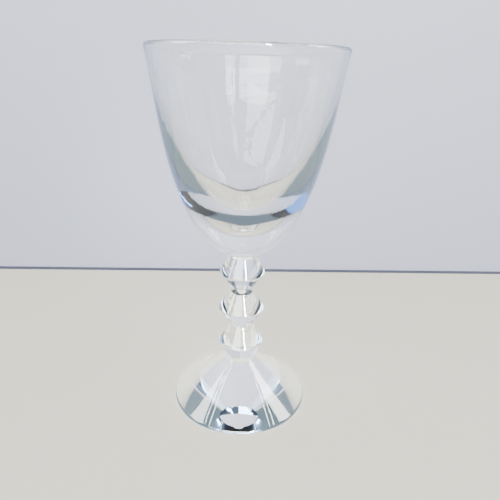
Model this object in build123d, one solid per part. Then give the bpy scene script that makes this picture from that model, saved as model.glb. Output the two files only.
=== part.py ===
from build123d import *
import os

# A stemmed crystal wine glass in three pieces: a thick-based bowl, a leg with three knops and a
# round foot. Each is a body of revolution about the Z axis. All sizes are in millimetres, +Z is
# up and the glass stands on Z = 0. Outline points are given as (radius, height).

# Foot
FOOT_RADIUS = 37.0          # at the widest point of the rim
FOOT_WIDEST_Z = 1.3
FOOT_RIM_EDGE = 36.33       # radius where the rounded rim meets the slope above and the base below
FOOT_TOP = (7.95, 24.5)     # where the leg is joined

# Leg: the outline from the foot up
LEG = [(7.95, 24.5), (11.85, 34.5), (5.5, 45.2), (12.15, 55.5), (5.85, 65.0), (6.2, 68.6),
       (11.95, 76.4), (6.2, 86.5)]
GIRDLES = [1, 3, 6]         # which of those points are the knops' widest edges
GIRDLE_ROUND = 0.5

# Bowl
HEIGHT = 185.0
MOUTH_RADIUS = 45.0
LIP_THICKNESS = 2.8
LIP_ROUND = 1.2             # how far the rounded lip rises above the walls
CAVITY_BOTTOM_Z = 104.6
OUTER_WALL = [(18.4, 94.9), (30.4, 115.2), (38.5, 143.5)]   # from the leg up
INNER_WALL = [(35.4, 148.0), (27.0, 127.5), (19.4, 116.0), (9.0, 107.0)]   # from the lip down


def make_foot():
    """A low cone with a narrow rounded rim."""
    rim_top = (FOOT_RIM_EDGE, 2 * FOOT_WIDEST_Z)
    rim_base = (FOOT_RIM_EDGE, 0)
    outline = [
        Polyline((0, FOOT_TOP[1]), FOOT_TOP, rim_top),
        ThreePointArc(rim_top, (FOOT_RADIUS, FOOT_WIDEST_Z), rim_base),
        Polyline(rim_base, (0, 0), (0, FOOT_TOP[1])),
    ]
    return revolve(Plane.XZ * make_face(outline), Axis.Z)


def make_leg():
    """Three double cones end to end, with softened girdles."""
    face = make_face(Polyline(*LEG, (0, LEG[-1][1]), (0, LEG[0][1]), close=True))
    corners = [v for v in face.vertices() for k in GIRDLES
               if (Vector(*LEG[k]) - Vector(v)).length < 0.01]
    return revolve(Plane.XZ * fillet(corners, GIRDLE_ROUND), Axis.Z)


def make_bowl():
    """A tulip-shaped wall over a deep solid base, with a rounded lip."""
    seat_radius, seat_z = LEG[-1]
    wall_top_z = HEIGHT - LIP_ROUND
    inner_top_x = MOUTH_RADIUS - LIP_THICKNESS
    outside = Spline((seat_radius, seat_z), *OUTER_WALL, (MOUTH_RADIUS, wall_top_z))
    lip = ThreePointArc((MOUTH_RADIUS, wall_top_z),
                        (MOUTH_RADIUS - LIP_THICKNESS / 2, HEIGHT), (inner_top_x, wall_top_z))
    inside = Spline((inner_top_x, wall_top_z), *INNER_WALL, (0, CAVITY_BOTTOM_Z),
                    tangents=[(-0.1, -1), (-1, 0)])
    core = Polyline((0, CAVITY_BOTTOM_Z), (0, seat_z), (seat_radius, seat_z))
    return revolve(Plane.XZ * make_face([outside, lip, inside, core]), Axis.Z)


os.makedirs("parts", exist_ok=True)
for name, piece in {"foot": make_foot(), "stem": make_leg(), "bowl": make_bowl()}.items():
    export_step(piece, f"parts/{name}.step")
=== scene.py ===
import bpy
import math
from mathutils import Matrix, Vector


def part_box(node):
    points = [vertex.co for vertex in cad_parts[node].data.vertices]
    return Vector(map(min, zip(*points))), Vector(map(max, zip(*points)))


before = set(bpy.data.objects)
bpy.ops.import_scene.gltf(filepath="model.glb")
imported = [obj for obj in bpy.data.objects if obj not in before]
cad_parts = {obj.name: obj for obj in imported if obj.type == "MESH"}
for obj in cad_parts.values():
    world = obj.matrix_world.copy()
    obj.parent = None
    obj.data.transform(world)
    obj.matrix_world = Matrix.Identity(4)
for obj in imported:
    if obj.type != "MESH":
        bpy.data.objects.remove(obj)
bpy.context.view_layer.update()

# Camera: lens and sensor in millimetres, angles in degrees, places in metres
LENS = 33.048
SENSOR = 36
PITCH_DOWN = 22.26
ROLL = 1.78
YAW = 0.96
CAMERA_AT = (0, -0.2191, 0.1781)
CLIP_START = 0.01

# Crystal
CRYSTAL_IOR = 1.545
CRYSTAL_COLOUR = (0.985, 0.992, 0.990, 1)
DEEP_REFLECTIONS = 2.5      # inner reflections after which the light is let straight out
# Painted shade: light let out after deep reflections still carries what lies beyond, but this
# colour darkens and blues it to stand in for dark inner reflections at the glass's sides
DEEP_PAINTED_SHADE = (0.18, 0.27, 0.38, 1)
RIPPLE_SCALE = 55
RIPPLE_DETAIL = 1
RIPPLE_HEIGHT = 0.00001
JOINT_TOLERANCE = 0.000002  # how near a face's corners are to a joint's height

# Room
FLOOR_Z = -0.0003           # a hair below the foot, so that its underside still mirrors
WALL_Y = 0.170
WALL_SLOPE = 0.032          # how far the wall runs back, per metre to the right
WALL_HEIGHT = 2
HALF_WIDTH = 2
# A dark strip where the wall meets the table is a painted shadow of the gap there
GAP_SHADOW_WIDTH = 0.006
GAP_SHADOW_LIFT = 0.0001          # keeps the painted gap shadow clear of the table
TABLE_COLOUR = (0.176, 0.166, 0.131)
WALL_COLOUR = (0.104, 0.107, 0.128)
# Colour of the painted gap shadow
GAP_SHADOW_COLOUR = (0.006, 0.008, 0.018)
MATT_ROUGHNESS = 0.6
MOTTLE_SCALE = 3
MOTTLE_SHADES = (0.97, 1.03)
# The sky's colour at each height, from 0 straight down to 1 straight up
SKY = [(0.50, (0.05, 0.06, 0.09)), (0.60, (0.10, 0.12, 0.16)), (0.72, (0.72, 0.74, 0.78)),
       (1.00, (0.85, 0.85, 0.85))]
# Windows behind the camera and beside the glass. The panes are low ones that mirror in the bowl.
# Each has a name, place, size across and up, power and colour.
WINDOWS = [
    ("window_strip", (0.78, -1.87, 1.32), (0.20, 1.0), 330, (0.93, 0.96, 1)),
    ("pane_left", (0.90, -1.82, 0.70), (0.28, 0.5), 40, (0.93, 0.96, 1)),
    ("pane_narrow", (0.66, -1.93, 0.70), (0.12, 0.5), 16, (0.93, 0.96, 1)),
    ("pane_wide", (-0.35, -1.96, 0.70), (1.5, 0.5), 35, (0.85, 0.91, 1)),
    ("window_wide", (-0.75, -1.70, 1.34), (1.7, 1.1), 190, (0.93, 0.96, 1)),
    ("window_left", (-1.60, -0.30, 1.20), (0.7, 0.8), 60, (1, 1, 1)),
    ("window_right", (1.50, 0, 1.20), (0.5, 0.8), 55, (1, 0.98, 0.95)),
]
GLASS_CENTRE = (0, 0, 0.1)
# Pairs of ceiling tubes, left and right of the glass
TUBE_X = [-1.62, -1.38, 1.48, 1.72]
TUBE_Y = -0.35
TUBE_Z = 2.0
TUBE_SIZE = (0.03, 1.6)
TUBE_POWER = 16


def add_object(name, data):
    obj = bpy.data.objects.new(name, data)
    bpy.context.scene.collection.objects.link(obj)
    return obj


def add_camera():
    pitch, roll, yaw = (math.radians(a) for a in (PITCH_DOWN, ROLL, YAW))
    data = bpy.data.cameras.new("camera")
    data.lens = LENS
    data.sensor_width = SENSOR
    data.clip_start = CLIP_START
    camera = add_object("camera", data)
    forward = Vector((math.sin(yaw) * math.cos(pitch), math.cos(yaw) * math.cos(pitch),
                      -math.sin(pitch)))
    level = forward.cross(Vector((0, 0, 1))).normalized()
    upright = level.cross(forward)
    right = level * math.cos(roll) + upright * math.sin(roll)
    up = upright * math.cos(roll) - level * math.sin(roll)
    matrix = Matrix((right, up, -forward)).transposed().to_4x4()
    matrix.translation = CAMERA_AT
    camera.matrix_world = matrix
    bpy.context.scene.camera = camera


def new_material(name):
    material = bpy.data.materials.new(name)
    material.use_nodes = True
    tree = material.node_tree
    return material, tree, tree.nodes["Principled BSDF"], tree.nodes["Material Output"]


def mix(tree, factor, first, second):
    node = tree.nodes.new("ShaderNodeMixShader")
    tree.links.new(factor, node.inputs[0])
    tree.links.new(first, node.inputs[1])
    tree.links.new(second, node.inputs[2])
    return node.outputs[0]


def transparent(tree, colour=(1, 1, 1, 1)):
    node = tree.nodes.new("ShaderNodeBsdfTransparent")
    node.inputs["Color"].default_value = colour
    return node.outputs[0]


def crystal(name):
    """Clear glass with a faint ripple. Lamps shine through it, and light that is still inside
    after several reflections is let straight out, darkened to a painted steel-blue shade, so that
    the renderer doesn't end it in black."""
    material, tree, glass, output = new_material(name)
    glass.inputs["Base Color"].default_value = CRYSTAL_COLOUR
    glass.inputs["Transmission Weight"].default_value = 1
    glass.inputs["Roughness"].default_value = 0
    glass.inputs["IOR"].default_value = CRYSTAL_IOR
    place = tree.nodes.new("ShaderNodeTexCoord")
    noise = tree.nodes.new("ShaderNodeTexNoise")
    noise.inputs["Scale"].default_value = RIPPLE_SCALE
    noise.inputs["Detail"].default_value = RIPPLE_DETAIL
    bump = tree.nodes.new("ShaderNodeBump")
    bump.inputs["Distance"].default_value = RIPPLE_HEIGHT
    tree.links.new(place.outputs["Object"], noise.inputs["Vector"])
    tree.links.new(noise.outputs["Fac"], bump.inputs["Height"])
    tree.links.new(bump.outputs["Normal"], glass.inputs["Normal"])
    path = tree.nodes.new("ShaderNodeLightPath")
    deep = tree.nodes.new("ShaderNodeMath")
    deep.operation = "GREATER_THAN"
    deep.inputs[1].default_value = DEEP_REFLECTIONS
    tree.links.new(path.outputs["Glossy Depth"], deep.inputs[0])
    # Light still inside after deep reflections goes straight out through a painted steel-blue
    # shade
    shader = mix(tree, deep.outputs[0], glass.outputs[0], transparent(tree, DEEP_PAINTED_SHADE))
    shader = mix(tree, path.outputs["Is Shadow Ray"], shader, transparent(tree))
    tree.links.new(shader, output.inputs["Surface"])
    return material


def joined_glass():
    """The hidden faces where two pieces are fused: light passes them as if they weren't there."""
    material, tree, glass, output = new_material("joined_glass")
    tree.nodes.remove(glass)
    tree.links.new(transparent(tree), output.inputs["Surface"])
    return material


def is_joint_face(mesh, polygon, heights):
    return any(all(abs(mesh.vertices[v].co.z - z) < JOINT_TOLERANCE for v in polygon.vertices)
               for z in heights)


def dress_glass():
    """Give each CAD piece its crystal, and its joint faces the fused look."""
    joint_heights = [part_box("stem")[0][2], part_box("stem")[1][2]]
    joined = joined_glass()
    for name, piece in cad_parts.items():
        mesh = piece.data
        mesh.materials.clear()
        mesh.materials.append(crystal(f"{name}_crystal"))
        mesh.materials.append(joined)
        for polygon in mesh.polygons:
            polygon.material_index = int(is_joint_face(mesh, polygon, joint_heights))


def matt(name, colour, one_sided=False):
    """A soft plain surface, faintly mottled. A one-sided one is seen only from its front."""
    material, tree, surface, output = new_material(name)
    surface.inputs["Roughness"].default_value = MATT_ROUGHNESS
    noise = tree.nodes.new("ShaderNodeTexNoise")
    noise.inputs["Scale"].default_value = MOTTLE_SCALE
    blend = tree.nodes.new("ShaderNodeValToRGB")
    for element, shade in zip(blend.color_ramp.elements, MOTTLE_SHADES):
        element.color = (*(c * shade for c in colour), 1)
    tree.links.new(noise.outputs["Fac"], blend.inputs[0])
    tree.links.new(blend.outputs[0], surface.inputs["Base Color"])
    if one_sided:
        side = tree.nodes.new("ShaderNodeNewGeometry")
        shader = mix(tree, side.outputs["Backfacing"], surface.outputs[0], transparent(tree))
        tree.links.new(shader, output.inputs["Surface"])
    return material


def add_plane(name, corners, material):
    mesh = bpy.data.meshes.new(name)
    mesh.from_pydata(corners, [], [(0, 1, 2, 3)])
    mesh.materials.append(material)
    add_object(name, mesh)


def add_room():
    w, drift = HALF_WIDTH, HALF_WIDTH * WALL_SLOPE
    gap_shadow_z = FLOOR_Z + GAP_SHADOW_LIFT
    left, right = WALL_Y - drift, WALL_Y + drift
    add_plane("table", [(-w, -w, FLOOR_Z), (w, -w, FLOOR_Z), (w, w, FLOOR_Z), (-w, w, FLOOR_Z)],
              matt("table_matt", TABLE_COLOUR))
    add_plane("wall", [(-w, left, FLOOR_Z), (w, right, FLOOR_Z), (w, right, WALL_HEIGHT),
                       (-w, left, WALL_HEIGHT)], matt("wall_matt", WALL_COLOUR, one_sided=True))
    # A dark strip along the foot of the wall: painted shadow where table and wall meet
    add_plane("gap_shadow", [(-w, left - GAP_SHADOW_WIDTH, gap_shadow_z), (w, right - GAP_SHADOW_WIDTH, gap_shadow_z),
                       (w, right, gap_shadow_z), (-w, left, gap_shadow_z)], matt("gap_shadow_matt", GAP_SHADOW_COLOUR))


def add_sky():
    """A bright ceiling over a dimmer room."""
    world = bpy.data.worlds.new("room")
    world.use_nodes = True
    tree = world.node_tree
    direction = tree.nodes.new("ShaderNodeTexCoord")
    split = tree.nodes.new("ShaderNodeSeparateXYZ")
    level = tree.nodes.new("ShaderNodeMapRange")
    level.inputs["From Min"].default_value = -1
    ramp = tree.nodes.new("ShaderNodeValToRGB")
    stops = ramp.color_ramp.elements
    stops.remove(stops[1])
    for k, (position, colour) in enumerate(SKY):
        stop = stops[0] if k == 0 else stops.new(position)
        stop.position = position
        stop.color = (*colour, 1)
    tree.links.new(direction.outputs["Generated"], split.inputs[0])
    tree.links.new(split.outputs["Z"], level.inputs["Value"])
    tree.links.new(level.outputs["Result"], ramp.inputs[0])
    tree.links.new(ramp.outputs[0], tree.nodes["Background"].inputs["Color"])
    bpy.context.scene.world = world


def add_lamp(name, at, size, power, colour, target):
    lamp = bpy.data.lights.new(name, "AREA")
    lamp.shape = "RECTANGLE"
    lamp.size, lamp.size_y = size
    lamp.energy = power
    lamp.color = colour
    obj = add_object(name, lamp)
    obj.location = at
    obj.rotation_mode = "QUATERNION"
    obj.rotation_quaternion = (Vector(target) - Vector(at)).to_track_quat("-Z", "Y")


add_camera()
dress_glass()
add_room()
add_sky()
for name, at, size, power, colour in WINDOWS:
    add_lamp(name, at, size, power, colour, GLASS_CENTRE)
for k, x in enumerate(TUBE_X):
    add_lamp(f"tube_{k}", (x, TUBE_Y, TUBE_Z), TUBE_SIZE, TUBE_POWER, (1, 1, 1),
             (x, TUBE_Y, 0))
